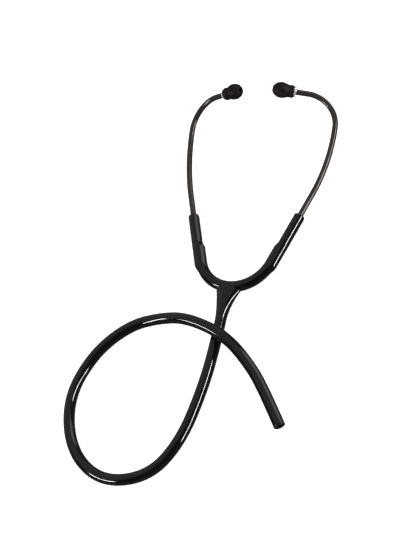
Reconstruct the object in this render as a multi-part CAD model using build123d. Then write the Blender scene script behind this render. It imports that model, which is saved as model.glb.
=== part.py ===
from build123d import *

import math
import os

# Binaural headset of a stethoscope with its tubing, lying flat, in millimetres.
# +X is across the headset to its right, +Y runs up from the yoke to the ear tips, +Z is up.
# The origin is under the middle of the headset, on the surface that it lies on.

# Tubing, which grows out of the foot of the yoke
TUBE_DIAMETER = 9.5
TUBE_BORE = 4.8
TUBE_RADIUS = TUBE_DIAMETER / 2

# Yoke moulding: a U of round section, with a stem below it
CROTCH_Y = -73.7
YOKE_RADIUS = 32.7
YOKE_HALF_ANGLE = 71.0
BAND_RADIUS = 4.7
CHANNEL_RADIUS = 1.8
STEM_LENGTH = 34.0
STEM_LEAN = 2.5
SHOULDER_HALF_WIDTH = 10.8
SHOULDER_DROP = 3.0
TAPER_END = 28.0

# Arm sleeves, which carry on from the ends of the U
SLEEVE_LENGTH = 49.0
SLEEVE_RADIUS = 4.7
SLEEVE_OFFSET = 1.6
SLEEVE_END_FILLET = 1.2
SPRING_POCKET = 20.0
RAMP_LENGTH = 5.0

# Leaf spring, buried on the inner side of the U
SPRING_THICKNESS = 0.8
SPRING_WIDTH = 6.0
SPRING_INSET = 1.9
SPRING_COVER = 4.0

# Ear tubes, bent from one length of thin tube each
EAR_TUBE_RADIUS = 2.5
EAR_TUBE_BORE_RADIUS = 1.8
EAR_TUBE_INSERTED = 46.0
EAR_TUBE_STRAIGHT = 21.2
LONG_BEND_RADIUS = 182.0
LONG_BEND_ANGLE = 20.6
EAR_BEND_RADIUS = 26.4
EAR_BEND_ANGLE = 90.8
EAR_TUBE_END = 12.4
FORWARD_TURN = 27.0
TURN_CLEARANCE = 0.05

# Ferrules on the ends of the ear tubes
COLLAR_RADIUS = 4.75
COLLAR_THICKNESS = 1.9
SPIGOT_RADIUS = 3.3
SPIGOT_LENGTH = 8.0
SOCKET_DEPTH = 4.0

# Ear tips, a hard insert in a soft mushroom
TIP_GAP = 0.1
INSERT_LENGTH = 8.0
INSERT_RADIUS = 4.4
INSERT_CLEARANCE = 0.05
TIP_LENGTH = 19.0
CUFF_RADIUS = 5.65
WAIST_RADIUS = 5.4
WAIST_AT = 5.0
HEAD_RADIUS = 7.0
HEAD_AT = 11.8
TIP_HOLE_RADIUS = 1.7
TIP_FACE_RADIUS = 2.6

# The tubing's route along its centre, from the stem round its loop, over its own start and out to
# its open end. Every point is (x, y, z) from the origin.
ROUTE = [
    (-2.5, -107.7, 4.75),
    (-2.5, -129, 4.75),
    (-5, -166, 4.75),
    (-13.7, -212, 4.75),
    (-34, -243.4, 4.75),
    (-75, -251, 4.75),
    (-108.6, -226.4, 4.75),
    (-122, -180.7, 4.75),
    (-109, -140.5, 4.75),
    (-83, -115, 4.75),
    (-55.5, -107.5, 10),
    (-24.5, -112, 22),
    (13, -128, 22),
    (38, -151, 14),
    (53.5, -173.3, 8),
    (67.5, -196.3, 4.8),
]

REST = Location((0, CROTCH_Y, TUBE_RADIUS))


def yoke_point(radius, degrees):
    """Point on a circle about the U's centre, counted from the crotch towards the right arm."""
    turn = math.radians(degrees)
    return Vector(radius * math.sin(turn), YOKE_RADIUS - radius * math.cos(turn), 0)


ARM_AXIS = Vector(math.cos(math.radians(YOKE_HALF_ANGLE)), math.sin(math.radians(YOKE_HALF_ANGLE)), 0)
ARM_INWARD = Vector(-ARM_AXIS.Y, ARM_AXIS.X, 0)
BAND_END = yoke_point(YOKE_RADIUS, YOKE_HALF_ANGLE)
SLEEVE_START = yoke_point(YOKE_RADIUS + SLEEVE_OFFSET, YOKE_HALF_ANGLE)
SLEEVE_END = SLEEVE_START + ARM_AXIS * SLEEVE_LENGTH


def rod(start, axis, length, radius):
    """Round bar from start along axis."""
    return Plane(start, z_dir=axis) * extrude(Circle(radius), length)


def taper(start, axis, length, first_radius, last_radius):
    """Cone from start along axis."""
    base = Plane(start, z_dir=axis)
    return base * Cone(first_radius, last_radius, length, align=(Align.CENTER, Align.CENTER, Align.MIN))


def ring_segment(section, half_angle):
    """Section, drawn on XZ at its radius from the U's centre, turned both ways from the crotch."""
    centre = Axis((0, YOKE_RADIUS, 0), (0, 0, 1))
    first = section.rotate(centre, -90 - half_angle)
    return revolve(first, centre, 2 * half_angle)


def round_band(radius, section_radius):
    """Part of a torus along the U."""
    plane = Plane((radius, YOKE_RADIUS, 0), x_dir=(1, 0, 0), z_dir=(0, -1, 0))
    return ring_segment(plane * Circle(section_radius), YOKE_HALF_ANGLE)


def leaf_spring():
    """Flat spring-steel strip bent to the U, with a straight end up each arm."""
    radius = YOKE_RADIUS - BAND_RADIUS + SPRING_INSET + SPRING_THICKNESS / 2
    plane = Plane((radius, YOKE_RADIUS, 0), x_dir=(1, 0, 0), z_dir=(0, -1, 0))
    strip = ring_segment(plane * Rectangle(SPRING_THICKNESS, SPRING_WIDTH), YOKE_HALF_ANGLE)
    end = Plane(yoke_point(radius, YOKE_HALF_ANGLE), x_dir=ARM_INWARD, z_dir=ARM_AXIS)
    straight = end * extrude(Rectangle(SPRING_THICKNESS, SPRING_WIDTH), SPRING_POCKET - SPRING_COVER)
    return strip + straight + mirror(straight, Plane.YZ)


def stem():
    """Foot of the yoke, wide under the U and narrowing to the tubing's own section."""
    down = Vector(-STEM_LEAN, -TAPER_END, 0) - Vector(0, -SHOULDER_DROP, 0)
    shoulder = Plane((0, -SHOULDER_DROP, 0), x_dir=(1, 0, 0), z_dir=(0, -1, 0))
    neck = Plane((-STEM_LEAN, -TAPER_END, 0), x_dir=(1, 0, 0), z_dir=(0, -1, 0))
    body = loft([shoulder * Ellipse(SHOULDER_HALF_WIDTH, BAND_RADIUS), neck * Circle(TUBE_RADIUS)])
    body += rod(neck.origin, neck.z_dir, STEM_LENGTH - TAPER_END, TUBE_RADIUS)
    bore = rod(shoulder.origin, down, down.length, TUBE_BORE / 2)
    bore += rod(neck.origin, neck.z_dir, STEM_LENGTH - TAPER_END, TUBE_BORE / 2)
    bore += Pos(neck.origin) * Sphere(TUBE_BORE / 2)
    return body, bore


def yoke(spring):
    """Soft moulding: the U with a sound channel round it, the spring's slot and the stem."""
    band = round_band(YOKE_RADIUS, BAND_RADIUS)
    body, bore = stem()
    swell = taper(SLEEVE_START, -ARM_AXIS, RAMP_LENGTH, SLEEVE_RADIUS, SLEEVE_RADIUS - 1.9)
    body += band + swell + mirror(swell, Plane.YZ)
    channel = round_band(YOKE_RADIUS + SLEEVE_OFFSET, CHANNEL_RADIUS)
    return body - channel - bore - spring


def arm_sleeve(spring):
    """Right arm: a straight sleeve for the ear tube, with the end of the spring beside it."""
    sleeve = rod(SLEEVE_START, ARM_AXIS, SLEEVE_LENGTH, SLEEVE_RADIUS)
    lip = sleeve.edges().sort_by(Axis(SLEEVE_START, ARM_AXIS))[-1]
    sleeve = fillet(lip, SLEEVE_END_FILLET)
    pocket = rod(BAND_END, ARM_AXIS, SPRING_POCKET - RAMP_LENGTH, BAND_RADIUS)
    ramp_start = BAND_END + ARM_AXIS * (SPRING_POCKET - RAMP_LENGTH)
    pocket += taper(ramp_start, ARM_AXIS, RAMP_LENGTH, BAND_RADIUS, BAND_RADIUS - 1.7)
    seat = rod(SLEEVE_END, -ARM_AXIS, EAR_TUBE_INSERTED, EAR_TUBE_RADIUS + TURN_CLEARANCE)
    channel = rod(SLEEVE_START, ARM_AXIS, SLEEVE_LENGTH, CHANNEL_RADIUS)
    return sleeve + pocket - seat - channel - spring


def ear_tube_path():
    """Centre of the right ear tube: up the sleeve, a long slow bend, then the bend to the ear."""
    turn = math.radians(FORWARD_TURN)
    bend_side = ARM_INWARD * math.cos(turn) + Vector(0, 0, 1) * math.sin(turn)
    plane = Plane(SLEEVE_END, x_dir=ARM_AXIS, z_dir=ARM_AXIS.cross(bend_side))
    leg = Line((-EAR_TUBE_INSERTED, 0), (EAR_TUBE_STRAIGHT, 0))
    slow = JernArc(leg @ 1, leg % 1, LONG_BEND_RADIUS, LONG_BEND_ANGLE)
    tight = JernArc(slow @ 1, slow % 1, EAR_BEND_RADIUS, EAR_BEND_ANGLE)
    last = Line(tight @ 1, tight @ 1 + (tight % 1) * (EAR_TUBE_END + SOCKET_DEPTH))
    return plane * Wire([leg, slow, tight, last])


def ear_tube(path):
    """Thin tube bent to the path."""
    start = Plane(path @ 0, z_dir=path % 0)
    section = start * (Circle(EAR_TUBE_RADIUS) - Circle(EAR_TUBE_BORE_RADIUS))
    return sweep(section, path)


def ferrule(base):
    """Turned collar with a spigot, pushed over the end of the ear tube."""
    body = base * (Pos(Z=-COLLAR_THICKNESS) * extrude(Circle(COLLAR_RADIUS), COLLAR_THICKNESS))
    body = chamfer(body.edges().filter_by(GeomType.CIRCLE), 0.3)
    body += base * extrude(Circle(SPIGOT_RADIUS), SPIGOT_LENGTH)
    socket = Pos(Z=-COLLAR_THICKNESS) * extrude(Circle(EAR_TUBE_RADIUS), COLLAR_THICKNESS + SOCKET_DEPTH)
    return body - base * socket - base * extrude(Circle(EAR_TUBE_BORE_RADIUS), SPIGOT_LENGTH)


def ear_tip_insert(base):
    """Hard sleeve inside the ear tip that grips the spigot."""
    ring = Circle(INSERT_RADIUS) - Circle(SPIGOT_RADIUS + INSERT_CLEARANCE)
    return base * (Pos(Z=TIP_GAP) * extrude(ring, INSERT_LENGTH))


def ear_tip(base):
    """Soft mushroom: a cuff, a slight waist and a round head with the sound hole in its face."""
    cuff = Line((0, TIP_GAP), (CUFF_RADIUS, TIP_GAP))
    side = Spline(
        (CUFF_RADIUS, TIP_GAP),
        (WAIST_RADIUS, WAIST_AT),
        (HEAD_RADIUS, HEAD_AT),
        (TIP_FACE_RADIUS, TIP_LENGTH),
        tangents=[(0, 1), (-1, 0.1)],
    )
    face = Line((TIP_FACE_RADIUS, TIP_LENGTH), (0, TIP_LENGTH))
    outline = make_face([cuff, side, face, Line((0, TIP_LENGTH), (0, TIP_GAP))])
    body = base * revolve(Plane.XZ * outline, Axis.Z)
    cavity = base * (Pos(Z=TIP_GAP) * extrude(Circle(INSERT_RADIUS), INSERT_LENGTH))
    return body - cavity - base * extrude(Circle(TIP_HOLE_RADIUS), TIP_LENGTH)


def main_tube():
    """Hollow tubing along its route: straight runs joined by arcs as large as the runs allow."""
    points = [Vector(*point) for point in ROUTE]
    runs = [after - before for before, after in zip(points, points[1:])]
    radii = []
    for before, after in zip(runs, runs[1:]):
        half_turn = math.radians(before.get_angle(after)) / 2
        radii.append(0.45 * min(before.length, after.length) / math.tan(half_turn))
    path = FilletPolyline(*points, radius=radii)
    start = Plane(path @ 0, z_dir=path % 0)
    ring = Circle(TUBE_RADIUS) - Circle(TUBE_BORE / 2)
    tube = sweep(start * ring, path)
    print("tubing radii", [round(radius) for radius in radii], "length", round(path.length, 1))
    print("tubing volume over section times length", round(tube.volume / (ring.area * path.length), 4))
    return tube


def write(node, solid):
    """One STEP for a node."""
    export_step(solid, f"parts/{node}.step")


def write_pair(node, right):
    """One STEP for the right-hand piece and one for its mirror image on the left."""
    write(f"{node}_right", REST * right)
    write(f"{node}_left", REST * mirror(right, Plane.YZ))


os.makedirs("parts", exist_ok=True)
spring = leaf_spring()
path = ear_tube_path()
tip_base = Plane(path @ 1 - (path % 1) * SOCKET_DEPTH, z_dir=path % 1)
write("leaf_spring", REST * spring)
write("yoke", REST * yoke(spring))
write_pair("arm_sleeve", arm_sleeve(spring))
write_pair("ear_tube", ear_tube(path))
write_pair("ferrule", ferrule(tip_base))
write_pair("ear_tip_insert", ear_tip_insert(tip_base))
write_pair("ear_tip", ear_tip(tip_base))
write("main_tube", main_tube())
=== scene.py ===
import math

import bmesh
import bpy
import numpy as np
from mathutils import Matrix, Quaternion, Vector


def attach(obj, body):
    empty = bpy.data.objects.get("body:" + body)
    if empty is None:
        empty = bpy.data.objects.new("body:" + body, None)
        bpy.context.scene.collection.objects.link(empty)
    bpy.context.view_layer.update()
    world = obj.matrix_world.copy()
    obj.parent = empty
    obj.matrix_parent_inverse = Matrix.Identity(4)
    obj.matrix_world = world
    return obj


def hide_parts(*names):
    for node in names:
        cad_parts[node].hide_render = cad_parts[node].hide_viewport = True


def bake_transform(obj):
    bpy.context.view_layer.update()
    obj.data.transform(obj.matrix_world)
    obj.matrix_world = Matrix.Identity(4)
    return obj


# A stethoscope's binaural headset and its tubing, lying on a table: metres, +X to the headset's right,
# +Y from the yoke up to the ear tips, +Z up from the table. The origin is under the headset's middle.
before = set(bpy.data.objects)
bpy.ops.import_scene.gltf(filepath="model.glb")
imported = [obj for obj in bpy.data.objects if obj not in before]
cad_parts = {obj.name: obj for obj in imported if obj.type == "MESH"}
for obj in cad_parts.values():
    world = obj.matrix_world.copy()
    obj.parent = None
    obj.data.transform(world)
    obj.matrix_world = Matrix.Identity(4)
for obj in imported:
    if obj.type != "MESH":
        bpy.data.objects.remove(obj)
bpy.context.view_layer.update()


# The camera looks down on the headset from its lower right, from about 1.3 m away, and it is turned
# about its own axis, so that the headset leans to the right in the picture.

AZIMUTH = math.radians(42.4)
ELEVATION = math.radians(54.2)
ROLL = math.radians(-35.7)
VIEW_CENTRE = Vector((-0.0174, -0.0707, 0.0146))
VIEW_DISTANCE = 1.274
LENS_MM = 99.9

back = Vector((math.sin(AZIMUTH), -math.cos(AZIMUTH), 0)) * math.cos(ELEVATION)
back.z = math.sin(ELEVATION)
camera = bpy.data.objects.new("camera", bpy.data.cameras.new("camera"))
bpy.context.scene.collection.objects.link(camera)
camera.data.lens = LENS_MM
camera.location = VIEW_CENTRE + back * VIEW_DISTANCE
camera.rotation_mode = "QUATERNION"
camera.rotation_quaternion = back.to_track_quat("Z", "Y") @ Quaternion((0, 0, 1), ROLL)
bpy.context.scene.camera = camera


# Main tube: single-lumen tubing of plasticised black PVC, 3/8 inch outside and 3/16 inch inside. It is
# drawn through a die, so its glossy skin has faint lengthwise lines, and cut square at the open end,
# where the edges are eased. It grows out of the foot of the yoke.

TUBE_RADIUS = 0.00475
TUBE_BORE_RADIUS = 0.0024
TUBE_LIP = 0.0007
LINE_STEPS = 48
MERGE_WITHIN = 1e-7
NOISE_SPAN = (0.3, 0.7)
PVC_RELIEF = 0.000004
TUBE_ROUTE = [
    (-0.0025, -0.1077, 0.00475),
    (-0.0025, -0.129, 0.00475),
    (-0.005, -0.166, 0.00475),
    (-0.0137, -0.212, 0.00475),
    (-0.0343, -0.244, 0.00475),
    (-0.0752, -0.2516, 0.00475),
    (-0.109, -0.2264, 0.00475),
    (-0.1237, -0.1807, 0.00475),
    (-0.1102, -0.139, 0.00475),
    (-0.0842, -0.1127, 0.00475),
    (-0.0562, -0.1063, 0.0085),
    (-0.0269, -0.1092, 0.0165),
    (0.0099, -0.1241, 0.0165),
    (0.0369, -0.15, 0.0125),
    (0.0527, -0.1731, 0.008),
    (0.0665, -0.1956, 0.00485),
]


def line_of_route(route):
    """Points along the smooth line that a route's points pull it to: a quadratic NURBS curve that
    starts and ends at the first and last of them."""
    curve = bpy.data.curves.new("route", "CURVE")
    curve.dimensions = "3D"
    spline = curve.splines.new("NURBS")
    spline.points.add(len(route) - 1)
    for point, place in zip(spline.points, route):
        point.co = (*place, 1)
    spline.order_u = 3
    spline.use_endpoint_u = True
    spline.resolution_u = LINE_STEPS
    holder = bpy.data.objects.new("route", curve)
    line = bpy.data.meshes.new_from_object(holder)
    points = np.empty(len(line.vertices) * 3)
    line.vertices.foreach_get("co", points)
    bpy.data.objects.remove(holder)
    bpy.data.meshes.remove(line)
    return points.reshape(-1, 3)


def path_at(line, stations):
    """Places and two crosswise directions of a line at distances along it. Each place is interpolated
    between the line's points, side is heading x (0, 0, 1) at length 1, and up is side x heading."""
    steps = np.linalg.norm(np.diff(line, axis=0), axis=1)
    length_so_far = np.concatenate([[0], np.cumsum(steps)])
    headings = np.gradient(line, axis=0)
    place = np.stack([np.interp(stations, length_so_far, line[:, k]) for k in range(3)], 1)
    heading = np.stack([np.interp(stations, length_so_far, headings[:, k]) for k in range(3)], 1)
    heading /= np.linalg.norm(heading, axis=1, keepdims=True)
    side = np.cross(heading, (0, 0, 1))
    side /= np.linalg.norm(side, axis=1, keepdims=True)
    return place, side, np.cross(side, heading)


def rings_on_path(place, side, up, radius, points_round):
    """Grid of round sections: place + radius * (cos a * side + sin a * up), a going once round."""
    turn = np.linspace(0, 2 * np.pi, points_round, endpoint=False)[None, :, None]
    out = np.cos(turn) * side[:, None, :] + np.sin(turn) * up[:, None, :]
    return place[:, None, :] + np.asarray(radius)[:, None, None] * out


def skin(name, grids, round_after, material):
    """Closed mesh over grids of points (rows, points across, 3). Each grid is (points, loop_rows,
    loop_across), where a loop joins its last row or column to its first. Points in the same place
    become one, open ends are filled, faces are turned outwards, and an edge sharper than round_after
    degrees stays sharp. The UV map holds the row and the column as shares of the grid."""
    points, quads, uvs, used = [], [], [], 0
    for grid, loop_rows, loop_across in grids:
        rows, across = grid.shape[:2]
        i, j = np.meshgrid(
            np.arange(rows if loop_rows else rows - 1),
            np.arange(across if loop_across else across - 1),
            indexing="ij",
        )
        i, j = i.ravel(), j.ravel()
        corners = [(i, j), (i, j + 1), (i + 1, j + 1), (i + 1, j)]
        quads.append(np.stack([used + r % rows * across + c % across for r, c in corners], 1))
        uvs.append(np.stack([np.stack([r / rows, c / across], 1) for r, c in corners], 1))
        points.append(grid.reshape(-1, 3))
        used += rows * across
    mesh = bpy.data.meshes.new(name)
    mesh.from_pydata(np.concatenate(points), [], np.concatenate(quads).tolist())
    mesh.uv_layers.new(name="along_and_round").data.foreach_set("uv", np.concatenate(uvs).ravel())
    built = bmesh.new()
    built.from_mesh(mesh)
    bmesh.ops.remove_doubles(built, verts=built.verts, dist=MERGE_WITHIN)
    rims = [edge for edge in built.edges if edge.is_boundary]
    bmesh.ops.holes_fill(built, edges=rims, sides=0)
    bmesh.ops.recalc_face_normals(built, faces=built.faces)
    built.to_mesh(mesh)
    built.free()
    mesh.shade_smooth()
    mesh.set_sharp_from_angle(angle=math.radians(round_after))
    mesh.materials.append(material)
    piece = bpy.data.objects.new(name, mesh)
    bpy.context.scene.collection.objects.link(piece)
    return piece


def new_material(name, colour, roughness, metallic=0.0, ior=1.5):
    """Principled material with its even values set on the shader itself."""
    material = bpy.data.materials.new(name)
    material.use_nodes = True
    shader = material.node_tree.nodes["Principled BSDF"]
    shader.inputs["Base Color"].default_value = (*colour, 1)
    shader.inputs["Roughness"].default_value = roughness
    shader.inputs["Metallic"].default_value = metallic
    shader.inputs["IOR"].default_value = ior
    return material, material.node_tree, shader


def noise(tree, coordinates, scale, detail, stretch=(1, 1, 1)):
    """Noise on Object or UV coordinates, stretched on each axis."""
    source = tree.nodes.new("ShaderNodeTexCoord")
    mapping = tree.nodes.new("ShaderNodeMapping")
    mapping.inputs["Scale"].default_value = stretch
    texture = tree.nodes.new("ShaderNodeTexNoise")
    texture.inputs["Scale"].default_value = scale
    texture.inputs["Detail"].default_value = detail
    tree.links.new(source.outputs[coordinates], mapping.inputs["Vector"])
    tree.links.new(mapping.outputs["Vector"], texture.inputs["Vector"])
    return texture.outputs["Fac"]


def ranged(tree, value, low, high):
    """Value over noise's usual span, stretched to run from low to high."""
    node = tree.nodes.new("ShaderNodeMapRange")
    node.inputs["From Min"].default_value = NOISE_SPAN[0]
    node.inputs["From Max"].default_value = NOISE_SPAN[1]
    node.inputs["To Min"].default_value = low
    node.inputs["To Max"].default_value = high
    tree.links.new(value, node.inputs["Value"])
    return node.outputs["Result"]


def tinted(tree, value, first, second):
    """Colour that runs from first to second as value runs over noise's usual span."""
    ramp = tree.nodes.new("ShaderNodeValToRGB")
    ramp.color_ramp.elements[0].position = NOISE_SPAN[0]
    ramp.color_ramp.elements[1].position = NOISE_SPAN[1]
    ramp.color_ramp.elements[0].color = (*first, 1)
    ramp.color_ramp.elements[1].color = (*second, 1)
    tree.links.new(value, ramp.inputs["Fac"])
    return ramp.outputs["Color"]


def bumped(tree, shader, value, height):
    """Surface relief of that height in metres."""
    bump = tree.nodes.new("ShaderNodeBump")
    bump.inputs["Strength"].default_value = 1.0
    bump.inputs["Distance"].default_value = height
    tree.links.new(value, bump.inputs["Height"])
    tree.links.new(bump.outputs["Normal"], shader.inputs["Normal"])


def black_pvc(name, coordinates, stretch, wave_scale):
    """Black PVC: near-black with a trace of warm grey bloom, glossy, its gloss and skin a little
    uneven. wave_scale and stretch set the size and the run of the unevenness."""
    material, tree, shader = new_material(name, (0.003, 0.003, 0.003), 0.12, ior=1.5)
    bloom = noise(tree, "Object", 90, 4)
    blacks = tinted(tree, bloom, (0.0022, 0.0022, 0.0024), (0.0042, 0.0039, 0.0038))
    tree.links.new(blacks, shader.inputs["Base Color"])
    handling = noise(tree, "Object", 55, 3)
    tree.links.new(ranged(tree, handling, 0.06, 0.12), shader.inputs["Roughness"])
    bumped(tree, shader, noise(tree, coordinates, wave_scale, 2, stretch), PVC_RELIEF)
    return material


tube_line = line_of_route(TUBE_ROUTE)
tube_length = float(np.linalg.norm(np.diff(tube_line, axis=0), axis=1).sum())
easing = np.linspace(0, np.pi / 2, 7)
outer_stations = np.linspace(0, tube_length - TUBE_LIP, 340)
inner_stations = np.linspace(tube_length - TUBE_LIP, 0, 170)
stations = np.concatenate([
    outer_stations,
    tube_length - TUBE_LIP * (1 - np.sin(easing[1:])),
    tube_length - TUBE_LIP * (1 - np.cos(easing[:-1])),
    inner_stations,
])
radii = np.concatenate([
    np.full(len(outer_stations), TUBE_RADIUS),
    TUBE_RADIUS - TUBE_LIP * (1 - np.cos(easing[1:])),
    TUBE_BORE_RADIUS + TUBE_LIP * (1 - np.sin(easing[:-1])),
    np.full(len(inner_stations), TUBE_BORE_RADIUS),
])
tube_place, tube_side, tube_up = path_at(tube_line, stations)
tube_rings = rings_on_path(tube_place, tube_side, tube_up, radii, 48)
tube_pvc = black_pvc("tube_pvc", "UV", (3, 90, 1), 1.0)
main_tube = skin("tubing", [(tube_rings, True, True)], 35, tube_pvc)
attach(main_tube, "root")
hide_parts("main_tube")


# Yoke: the middle of one soft black PVC moulding. It is a U of round section with a stem below it,
# wide and flattened at the shoulders, that narrows to the tubing. It is dipped in one piece with the
# tubing and the arm sleeves, so no seam shows between them.

CROTCH = np.array((0, -0.0737, TUBE_RADIUS))
U_RADIUS = 0.0327
BAND_RADIUS = 0.0047
STEM_LENGTH = 0.034
STEM_LEAN = 0.0025
NECK_AT = 0.031
SHOULDER_REACH = {1: 0.0096, -1: 0.0121}
STEM_TAPER = {1: 2.0, -1: 1.4}
CORNER_EASING = 0.0012
YOKE_CUT = math.radians(26)


def smooth(value):
    """0 below 0, 1 above 1, and 3v^2 - 2v^3 between."""
    value = np.clip(value, 0, 1)
    return value * value * (3 - 2 * value)


def on_u(radius, angle):
    """Point of a circle about the U's centre, at an angle from the crotch towards the right."""
    return np.stack([radius * np.sin(angle), U_RADIUS - radius * np.cos(angle)], -1)


def stem_edge(drop, side, shoulder_at, reach):
    """Edge of the stem at a drop below the crotch on one side (1 or -1). It narrows from the reach at
    the shoulder to the tubing's side at the neck, as a power of the way left to go."""
    foot = side * TUBE_RADIUS - STEM_LEAN
    left_to_go = 1 - np.clip((drop - shoulder_at) / (NECK_AT - shoulder_at), 0, 1)
    return np.stack([foot + (side * reach - foot) * left_to_go ** STEM_TAPER[side], -drop], -1)


def half_round(spine, edge, points_across):
    """Patch over the spine on top, round the edge and back under it: each section is a quarter ellipse
    from the spine's top to the edge and another to its underside, spine + sin a * (edge - spine) with
    a height of cos a times the band's radius."""
    a = np.linspace(0, np.pi, points_across)[None, :, None]
    flat = spine[:, None, :] + np.sin(a) * (edge - spine)[:, None, :]
    height = np.broadcast_to(np.cos(a) * BAND_RADIUS, (*flat.shape[:2], 1))
    return np.concatenate([flat, height], -1) + CROTCH


band_rows = np.linspace(0, YOKE_CUT, 26)
stem_rows = np.linspace(STEM_LENGTH, 0, 40)
spine_rows = np.concatenate([-stem_rows, U_RADIUS * band_rows[1:]])
outer_radius = U_RADIUS + BAND_RADIUS
yoke_patches = []
for side in (1, -1):
    reach = SHOULDER_REACH[side]
    mirrored = np.array((side, 1))
    shoulder_angle = math.asin(reach / outer_radius)
    shoulder_at = outer_radius * math.cos(shoulder_angle) - U_RADIUS
    corner_reach = outer_radius * (YOKE_CUT - shoulder_angle)
    edge_way = np.linspace(shoulder_at - STEM_LENGTH, corner_reach, 400)
    turn_in = smooth((edge_way + corner_reach) / (2 * corner_reach))
    round_u = shoulder_angle + edge_way / outer_radius
    spine_way = (1 - turn_in) * (edge_way - shoulder_at) + turn_in * U_RADIUS * round_u
    edge_rows = np.interp(spine_rows, spine_way, edge_way)
    on_stem = stem_edge(shoulder_at - edge_rows, side, shoulder_at, reach)
    on_band = on_u(outer_radius, shoulder_angle + edge_rows / outer_radius) * mirrored
    corner = smooth((edge_rows + CORNER_EASING) / (2 * CORNER_EASING))[:, None]
    edge = on_stem * (1 - corner) + on_band * corner
    stem_spine = np.stack([-STEM_LEAN * smooth(stem_rows / NECK_AT), -stem_rows], -1)
    spine = np.concatenate([stem_spine, on_u(U_RADIUS, band_rows[1:]) * mirrored])
    yoke_patches.append((half_round(spine, edge, 33), False, False))
inside_rows = np.concatenate([-band_rows[:0:-1], band_rows])
inside_spine = on_u(U_RADIUS, inside_rows)
inside_edge = on_u(U_RADIUS - BAND_RADIUS, inside_rows)
yoke_patches.append((half_round(inside_spine, inside_edge, 33), False, False))
moulded_pvc = black_pvc("moulded_pvc", "Object", (1, 1, 1), 160)
yoke = skin("yoke_moulding", yoke_patches, 45, moulded_pvc)
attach(yoke, "root")
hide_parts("yoke")


# Arms: the ends of the same moulding. Each follows the U, swells over the ear tube's end, and runs on
# as a straight sleeve round the ear tube. On the real headset the moulding springs with the arm.

U_END = math.radians(71)
SLEEVE_OFFSET = 0.0016
SLEEVE_RADIUS = 0.0047
SLEEVE_LENGTH = 0.049
SLEEVE_EASING = 0.0012
TUBE_SEAT = 0.046
TUBE_SEAT_RADIUS = 0.00256
SWELL = (-0.0082, -0.0008)
SPRING_POCKET = (0.0145, 0.0205)
POCKET_PASSED = 0.022


def along_arm(way):
    """Centre of the right arm at distances from the U's end, and the outward direction there. Below
    zero it follows the U, and above zero it runs straight on."""
    angle = U_END + np.minimum(way, 0) / U_RADIUS
    outward = np.stack([np.sin(angle), -np.cos(angle)], -1)
    straight = np.maximum(way, 0)[:, None] * np.array((math.cos(U_END), math.sin(U_END)))
    return on_u(U_RADIUS, angle) + straight, outward


def between(way, span):
    """Smooth step of way over a span."""
    return smooth((way - span[0]) / (span[1] - span[0]))


def arm_rings(way, middle, reach_out, reach_in, height, points_round):
    """Grid of egg-shaped sections: centre + outward * (middle + reach * sin a), height * cos a, where
    the reach is reach_out on the outer side and reach_in on the inner side."""
    centre, outward = along_arm(way)
    a = np.linspace(0, 2 * np.pi, points_round, endpoint=False)[None, :]
    reach = np.where(np.sin(a) > 0, reach_out[:, None], reach_in[:, None])
    flat = centre[:, None, :] + (middle[:, None] + reach * np.sin(a))[..., None] * outward[:, None, :]
    return np.concatenate([flat, (height[:, None] * np.cos(a))[..., None]], -1) + CROTCH


def mirror_grid(grid):
    """The same grid on the left."""
    return grid * np.array((-1, 1, 1))


skin_way = np.concatenate([
    np.linspace((YOKE_CUT - U_END) * U_RADIUS, POCKET_PASSED, 90),
    np.linspace(POCKET_PASSED + 0.0005, SLEEVE_LENGTH - SLEEVE_EASING, 40),
])
swelling = between(skin_way, SWELL)
closing = between(skin_way, SPRING_POCKET)
skin_middle = SLEEVE_OFFSET * (0.5 * swelling + 0.5 * closing)
skin_out = BAND_RADIUS + SLEEVE_OFFSET * swelling - skin_middle
skin_in = BAND_RADIUS - SLEEVE_OFFSET * closing + skin_middle
end_way = SLEEVE_LENGTH - SLEEVE_EASING * (1 - np.sin(easing[1:]))
end_radius = SLEEVE_RADIUS - SLEEVE_EASING * (1 - np.cos(easing[1:]))
lip = 0.3 * SLEEVE_EASING
lip_way = SLEEVE_LENGTH - lip * (1 - np.cos(easing))
lip_radius = TUBE_SEAT_RADIUS + lip * (1 - np.sin(easing))
seat_way = SLEEVE_LENGTH - np.linspace(2 * lip, TUBE_SEAT, 24)
seat_radius = np.full(24, TUBE_SEAT_RADIUS)
round_way = np.concatenate([end_way, lip_way, seat_way])
round_radius = np.concatenate([end_radius, lip_radius, seat_radius])
arm_grid = arm_rings(
    np.concatenate([skin_way, round_way]),
    np.concatenate([skin_middle, np.full(len(round_way), SLEEVE_OFFSET)]),
    np.concatenate([skin_out, round_radius]),
    np.concatenate([skin_in, round_radius]),
    np.concatenate([np.full(len(skin_way), BAND_RADIUS), round_radius]),
    64,
)
for hand, grid in (("right", arm_grid), ("left", mirror_grid(arm_grid))):
    arm = skin(f"arm_{hand}", [(grid, False, True)], 45, moulded_pvc)
    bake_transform(arm)
    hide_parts(f"arm_sleeve_{hand}")


# Leaf spring: a flat strip of blued spring steel moulded into the inner side of the U, with straight
# ends in the arms. It pulls the ear tubes together. Its section is a squared-off ellipse, and it is
# made here as two halves that meet at the crotch, one for each arm.

SPRING_WAY_IN = -0.0024
SPRING_HALF_THICKNESS = 0.0004
SPRING_HALF_WIDTH = 0.003
SPRING_END = 0.016
SPRING_SQUARENESS = 0.35

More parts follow.
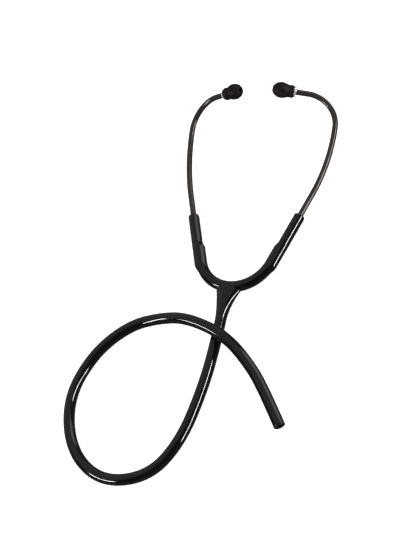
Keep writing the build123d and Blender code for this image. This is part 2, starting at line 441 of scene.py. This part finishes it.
spring_way = np.concatenate([np.linspace(-U_END * U_RADIUS, 0, 50), np.linspace(0.001, SPRING_END, 16)])
spring_centre, spring_outward = along_arm(spring_way)
spring_turn = np.linspace(0, 2 * np.pi, 24, endpoint=False)[None, :]
sines, cosines = np.sin(spring_turn), np.cos(spring_turn)
across = SPRING_WAY_IN + SPRING_HALF_THICKNESS * np.sign(sines) * np.abs(sines) ** SPRING_SQUARENESS
rise = SPRING_HALF_WIDTH * np.sign(cosines) * np.abs(cosines) ** SPRING_SQUARENESS
spring_flat = spring_centre[:, None, :] + across[..., None] * spring_outward[:, None, :]
spring_height = np.broadcast_to(rise[..., None], (*spring_flat.shape[:2], 1))
spring_grid = np.concatenate([spring_flat, spring_height], -1) + CROTCH

blued_steel, tree, shader = new_material("blued_spring_steel", (0.16, 0.18, 0.24), 0.3, metallic=1.0)
temper = noise(tree, "Object", 60, 3)
tree.links.new(tinted(tree, temper, (0.13, 0.15, 0.21), (0.24, 0.22, 0.22)), shader.inputs["Base Color"])
rolling_marks = noise(tree, "Object", 400, 2, (1, 1, 0.1))
tree.links.new(ranged(tree, rolling_marks, 0.22, 0.4), shader.inputs["Roughness"])
for hand, grid in (("right", spring_grid), ("left", mirror_grid(spring_grid))):
    half_spring = skin(f"leaf_spring_{hand}", [(grid, False, True)], 40, blued_steel)
    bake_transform(half_spring)
    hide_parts("leaf_spring")


# Ear tubes: one length of thin-walled metal tube each, bent twice, a long slow bend and a tight one
# towards the ear, then polished and coated a smoky brown-grey. The lower end is pushed into the arm
# sleeve, where it can be turned, and here both are turned a little forward.

EAR_TUBE_RADIUS = 0.0025
EAR_TUBE_BORE = 0.0018
STRAIGHT = 0.0212
SLOW_BEND = (0.182, math.radians(20.6))
TIGHT_BEND = (0.0264, math.radians(90.8))
LAST_STRAIGHT = 0.0124
SOCKET_DEPTH = 0.004
FORWARD_TURN = math.radians(27)
END_GAP = 0.0002
FINE_STEP = 0.0001

sleeve_centre, sleeve_outward = along_arm(np.array((SLEEVE_LENGTH,)))
sleeve_mouth = np.append(sleeve_centre[0] + SLEEVE_OFFSET * sleeve_outward[0], 0) + CROTCH
arm_axis = np.array((math.cos(U_END), math.sin(U_END), 0))
inward = np.array((-math.sin(U_END), math.cos(U_END), 0))
bend_side = inward * math.cos(FORWARD_TURN) + np.array((0, 0, 1)) * math.sin(FORWARD_TURN)
bend_normal = np.cross(arm_axis, bend_side)


def ear_tube_line(way):
    """Centre and heading of the right ear tube at distances from the sleeve's mouth. The heading turns
    evenly in each bend, and the centre is the heading added up in small steps."""
    fine = np.arange(-TUBE_SEAT, way.max() + 2 * FINE_STEP, FINE_STEP)
    slow_radius, slow_angle = SLOW_BEND
    tight_radius, tight_angle = TIGHT_BEND
    slow_length = slow_radius * slow_angle
    bent = np.clip((fine - STRAIGHT) / slow_radius, 0, slow_angle)
    bent = bent + np.clip((fine - STRAIGHT - slow_length) / tight_radius, 0, tight_angle)
    heading = np.cos(bent)[:, None] * arm_axis + np.sin(bent)[:, None] * bend_side
    steps = 0.5 * (heading[1:] + heading[:-1]) * FINE_STEP
    centre = np.concatenate([[np.zeros(3)], np.cumsum(steps, axis=0)]) - TUBE_SEAT * arm_axis
    at = [np.interp(way, fine, centre[:, k]) for k in range(3)]
    to = [np.interp(way, fine, heading[:, k]) for k in range(3)]
    return np.stack(at, 1) + sleeve_mouth, np.stack(to, 1)


ear_tube_end = STRAIGHT + SLOW_BEND[0] * SLOW_BEND[1] + TIGHT_BEND[0] * TIGHT_BEND[1] + LAST_STRAIGHT
outer_way = np.linspace(-TUBE_SEAT + END_GAP, ear_tube_end + SOCKET_DEPTH - END_GAP, 200)
inner_way = outer_way[::-3]
tube_way = np.concatenate([outer_way, inner_way])
ear_radius = np.concatenate([
    np.full(len(outer_way), EAR_TUBE_RADIUS),
    np.full(len(inner_way), EAR_TUBE_BORE),
])
ear_place, ear_heading = ear_tube_line(tube_way)
ear_up = np.broadcast_to(bend_normal, ear_place.shape)
ear_side = np.cross(ear_up, ear_heading)
ear_tube_grid = rings_on_path(ear_place, ear_side, ear_up, ear_radius, 40)

smoke, tree, shader = new_material("smoke_coated_metal", (0.052, 0.044, 0.040), 0.2, metallic=0.55)
shader.inputs["Specular IOR Level"].default_value = 0.25
coat = noise(tree, "Object", 35, 3)
tree.links.new(tinted(tree, coat, (0.046, 0.039, 0.035), (0.060, 0.051, 0.046)), shader.inputs["Base Color"])
polish = noise(tree, "UV", 1.0, 3, (4, 60, 1))
tree.links.new(ranged(tree, polish, 0.16, 0.24), shader.inputs["Roughness"])
for hand, grid in (("right", ear_tube_grid), ("left", mirror_grid(ear_tube_grid))):
    ear_tube = skin(f"ear_tube_metal_{hand}", [(grid, True, True)], 40, smoke)
    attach(ear_tube, f"ear_tube_{hand}")
    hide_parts(f"ear_tube_{hand}")


# Ferrules: turned and polished metal, one on the end of each ear tube. A thin bright collar stops the
# ear tip, and a spigot with a snap groove carries it.

COLLAR_RADIUS = 0.00475
COLLAR_THICKNESS = 0.0019
SPIGOT_RADIUS = 0.0033
SPIGOT_LENGTH = 0.008
COLLAR_RELIEF = 0.0002
GROOVE_DEPTH = 0.0004


def turned(corners):
    """Closed outline in (distance along the axis, radius) through corners (along, radius, easing): each
    corner is cut by a parabola that leaves and meets its two sides at its easing."""
    outline = []
    for k, (along, radius, ease) in enumerate(corners):
        corner = np.array((along, radius))
        before = np.array(corners[k - 1][:2]) - corner
        after = np.array(corners[(k + 1) % len(corners)][:2]) - corner
        start = corner + before / np.linalg.norm(before) * ease
        end = corner + after / np.linalg.norm(after) * ease
        t = np.linspace(0, 1, 6 if ease else 1)[:, None]
        outline.append((1 - t) ** 2 * start + 2 * t * (1 - t) * corner + t**2 * end)
    return np.concatenate(outline)


def ring_at_ear(outline, points_round):
    """Grid of an outline turned about the right ear tube's last straight, from the ferrule's face."""
    end_place, end_heading = ear_tube_line(np.array((ear_tube_end,)))
    place = end_place + outline[:, :1] * end_heading
    up = np.broadcast_to(bend_normal, place.shape)
    return rings_on_path(place, np.cross(up, end_heading), up, outline[:, 1], points_round)


ferrule_outline = turned([
    (-COLLAR_THICKNESS, EAR_TUBE_RADIUS, 0.00015),
    (-COLLAR_THICKNESS, COLLAR_RADIUS, 0.0004),
    (0, COLLAR_RADIUS, 0.0003),
    (0, SPIGOT_RADIUS - COLLAR_RELIEF, 0),
    (0.0004, SPIGOT_RADIUS - COLLAR_RELIEF, 0),
    (0.0007, SPIGOT_RADIUS, 0.0001),
    (0.0048, SPIGOT_RADIUS, 0.0001),
    (0.0051, SPIGOT_RADIUS - GROOVE_DEPTH, 0.0001),
    (0.0058, SPIGOT_RADIUS - GROOVE_DEPTH, 0.0001),
    (0.0061, SPIGOT_RADIUS, 0.0001),
    (SPIGOT_LENGTH, SPIGOT_RADIUS, 0.0005),
    (SPIGOT_LENGTH, EAR_TUBE_BORE, 0.0003),
    (SOCKET_DEPTH, EAR_TUBE_BORE, 0),
    (SOCKET_DEPTH, EAR_TUBE_RADIUS, 0),
])
ferrule_grid = ring_at_ear(ferrule_outline, 64)
bright, tree, shader = new_material("polished_ferrule", (0.86, 0.85, 0.83), 0.25, metallic=0.55)
lathe_marks = noise(tree, "UV", 1.0, 2, (160, 2, 1))
tree.links.new(ranged(tree, lathe_marks, 0.2, 0.3), shader.inputs["Roughness"])
for hand, grid in (("right", ferrule_grid), ("left", mirror_grid(ferrule_grid))):
    ferrule = skin(f"ferrule_bright_{hand}", [(grid, True, True)], 40, bright)
    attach(ferrule, f"ear_tube_{hand}")
    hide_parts(f"ferrule_{hand}")


# Ear tip inserts: hard black nylon sleeves, moulded, inside the ear tips. Each snaps over its
# ferrule's spigot and comes away with its tip.

TIP_GAP = 0.0001
INSERT_RADIUS = 0.0044
INSERT_BORE = 0.00335
INSERT_LENGTH = 0.008

insert_outline = turned([
    (TIP_GAP, INSERT_BORE, 0.0003),
    (TIP_GAP, INSERT_RADIUS, 0.0001),
    (TIP_GAP + INSERT_LENGTH, INSERT_RADIUS, 0.0001),
    (TIP_GAP + INSERT_LENGTH, INSERT_BORE, 0.0002),
])
insert_grid = ring_at_ear(insert_outline, 48)
nylon, tree, shader = new_material("insert_nylon", (0.03, 0.03, 0.032), 0.4)
tree.links.new(ranged(tree, noise(tree, "Object", 900, 3), 0.33, 0.5), shader.inputs["Roughness"])
for hand, grid in (("right", insert_grid), ("left", mirror_grid(insert_grid))):
    insert = skin(f"tip_insert_{hand}", [(grid, True, True)], 40, nylon)
    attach(insert, f"ear_tip_{hand}")
    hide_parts(f"ear_tip_insert_{hand}")


# Ear tips: soft silicone mushrooms, brown-black and matt, moulded over their inserts. Each has a short
# cuff that runs smoothly into a round head, which seals the ear, and a sound hole with a rounded rim.

CUFF_RADIUS = 0.0056
CUFF_FLARE = 0.0002
HEAD_RADIUS = 0.0069
HEAD_LENGTH = 0.0080
HEAD_AT = 0.0106
HOLE_RADIUS = 0.0017
HOLE_RIM = 0.0005
HOLE_STEP_AT = 0.012
TIP_SOFTNESS = 0.0016
CUFF_FLARE_LENGTH = 0.004
CUFF_EASING = 0.0005
CUFF_MOUTH_INSET = 0.0003
FACE_ENDS = math.radians(72)
SILICONE_RELIEF = 0.00003

tip_along = np.linspace(TIP_GAP + CUFF_EASING, HEAD_AT, 50)
cuff_part = CUFF_RADIUS - CUFF_FLARE * smooth(tip_along / CUFF_FLARE_LENGTH)
head_part = HEAD_RADIUS * np.sqrt(np.clip(1 - ((tip_along - HEAD_AT) / HEAD_LENGTH) ** 2, 0, 1))
overlap = np.clip(0.5 + 0.5 * (head_part - cuff_part) / TIP_SOFTNESS, 0, 1)
side_radius = cuff_part * (1 - overlap) + head_part * overlap + TIP_SOFTNESS * overlap * (1 - overlap)
face_turn = np.linspace(0, FACE_ENDS, 36)[1:]
face_along = HEAD_AT + HEAD_LENGTH * np.sin(face_turn)
face_radius = HEAD_RADIUS * np.cos(face_turn)
rim_turn = np.linspace(0, np.pi / 2, 7)
rim_along = face_along[-1] + HOLE_RIM * 0.25 - HOLE_RIM * (1 - np.cos(rim_turn))
rim_radius = HOLE_RADIUS + HOLE_RIM * (1 - np.sin(rim_turn))
insert_end = TIP_GAP + INSERT_LENGTH
cuff_mouth = side_radius[0] - CUFF_MOUTH_INSET
hole_along = np.array((HOLE_STEP_AT, insert_end, insert_end, TIP_GAP, TIP_GAP))
hole_radius = np.array((HOLE_RADIUS, HOLE_RADIUS, INSERT_RADIUS, INSERT_RADIUS, cuff_mouth))
tip_outline = np.stack([
    np.concatenate([tip_along, face_along, rim_along, hole_along]),
    np.concatenate([side_radius, face_radius, rim_radius, hole_radius]),
], 1)
tip_grid = ring_at_ear(tip_outline, 72)
silicone, tree, shader = new_material("soft_silicone", (0.009, 0.0065, 0.005), 0.6, ior=1.4)
shader.inputs["Specular IOR Level"].default_value = 0.15
dust = noise(tree, "Object", 240, 5)
brown_blacks = tinted(tree, dust, (0.0078, 0.005, 0.0039), (0.015, 0.0106, 0.0085))
tree.links.new(brown_blacks, shader.inputs["Base Color"])
tree.links.new(ranged(tree, noise(tree, "Object", 500, 3), 0.46, 0.64), shader.inputs["Roughness"])
bumped(tree, shader, noise(tree, "Object", 1500, 3), SILICONE_RELIEF)
for hand, grid in (("right", tip_grid), ("left", mirror_grid(tip_grid))):
    ear_tip = skin(f"ear_tip_soft_{hand}", [(grid, True, True)], 50, silicone)
    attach(ear_tip, f"ear_tip_{hand}")
    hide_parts(f"ear_tip_{hand}")


# Table: a plain white sheet, evenly lit, so only a faint contact shadow shows on it. Reflections see
# it dimmer than the eye does, as the black surround of a product table would make it.

TABLE_SIZE = 6.0
TABLE_DROP = 0.00005
TABLE_WHITE = (0.9, 0.9, 0.9, 1)
TABLE_IN_GLOSS = (0.16, 0.16, 0.16, 1)
TABLE_GLOW = 0.75

table_mesh = bpy.data.meshes.new("table_top")
half = TABLE_SIZE / 2
table_corners = [(-half, -half, 0), (half, -half, 0), (half, half, 0), (-half, half, 0)]
table_mesh.from_pydata(table_corners, [], [(0, 1, 2, 3)])
table_top = bpy.data.objects.new("table_top", table_mesh)
bpy.context.scene.collection.objects.link(table_top)
table_top.location.z = -TABLE_DROP
white, tree, shader = new_material("white_table", TABLE_WHITE[:3], 0.9)
shader.inputs["Specular IOR Level"].default_value = 0.0
shader.inputs["Emission Color"].default_value = (1, 1, 1, 1)
rays = tree.nodes.new("ShaderNodeLightPath")
table_glow = tree.nodes.new("ShaderNodeMath")
table_glow.operation = "MULTIPLY"
table_glow.inputs[1].default_value = TABLE_GLOW
tree.links.new(rays.outputs["Is Camera Ray"], table_glow.inputs[0])
tree.links.new(table_glow.outputs["Value"], shader.inputs["Emission Strength"])
table_shade = tree.nodes.new("ShaderNodeMix")
table_shade.data_type = "RGBA"
table_shade.inputs["A"].default_value = TABLE_WHITE
table_shade.inputs["B"].default_value = TABLE_IN_GLOSS
tree.links.new(rays.outputs["Is Glossy Ray"], table_shade.inputs["Factor"])
tree.links.new(table_shade.outputs["Result"], shader.inputs["Base Color"])
table_mesh.materials.append(white)


# Light: two long narrow softboxes, low at the front left and right, draw the thin bright lines on the
# moulding and the tubing. A wide panel overhead and a dim one behind lay the soft sheen, and a white
# surround fills in. The lamps only show in the gloss, so the matt pieces stay evenly lit.

SURROUND = 1.0
SURROUND_IN_GLOSS = 0.05


def softbox(name, direction, distance, spin, width, height, radiance):
    """Rectangular lamp that shines at the headset from a direction and a distance, turned about its own
    axis by spin degrees. Its power is its radiance times its area times pi."""
    lamp = bpy.data.lights.new(name, "AREA")
    lamp.shape = "RECTANGLE"
    lamp.size, lamp.size_y = width, height
    lamp.energy = radiance * width * height * math.pi
    holder = bpy.data.objects.new(name, lamp)
    toward = Vector(direction).normalized()
    holder.location = VIEW_CENTRE + toward * distance
    holder.rotation_mode = "QUATERNION"
    holder.rotation_quaternion = toward.to_track_quat("Z", "Y") @ Quaternion((0, 0, 1), math.radians(spin))
    holder.visible_diffuse = False
    bpy.context.scene.collection.objects.link(holder)


softbox("right_softbox", (0.94, 0.08, 0.33), 4.3, 34, 3.6, 0.36, 52)
softbox("front_softbox", (-0.60, -0.66, 0.45), 2.0, 0, 1.15, 0.17, 52)
softbox("back_panel", (0.50, 0.80, 0.35), 2.0, 0, 0.8, 2.0, 1.5)
softbox("overhead_panel", (-0.45, 0.47, 0.76), 2.0, 0, 4.6, 4.6, 0.36)

world = bpy.data.worlds.new("white_surround")
world.use_nodes = True
bpy.context.scene.world = world
surround = world.node_tree
background = surround.nodes["Background"]
background.inputs["Color"].default_value = (1, 1, 1, 1)
rays = surround.nodes.new("ShaderNodeLightPath")
dimmed = surround.nodes.new("ShaderNodeMapRange")
dimmed.inputs["To Min"].default_value = SURROUND
dimmed.inputs["To Max"].default_value = SURROUND_IN_GLOSS
surround.links.new(rays.outputs["Is Glossy Ray"], dimmed.inputs["Value"])
surround.links.new(dimmed.outputs["Result"], background.inputs["Strength"])
bpy.context.scene.view_settings.view_transform = "Standard"
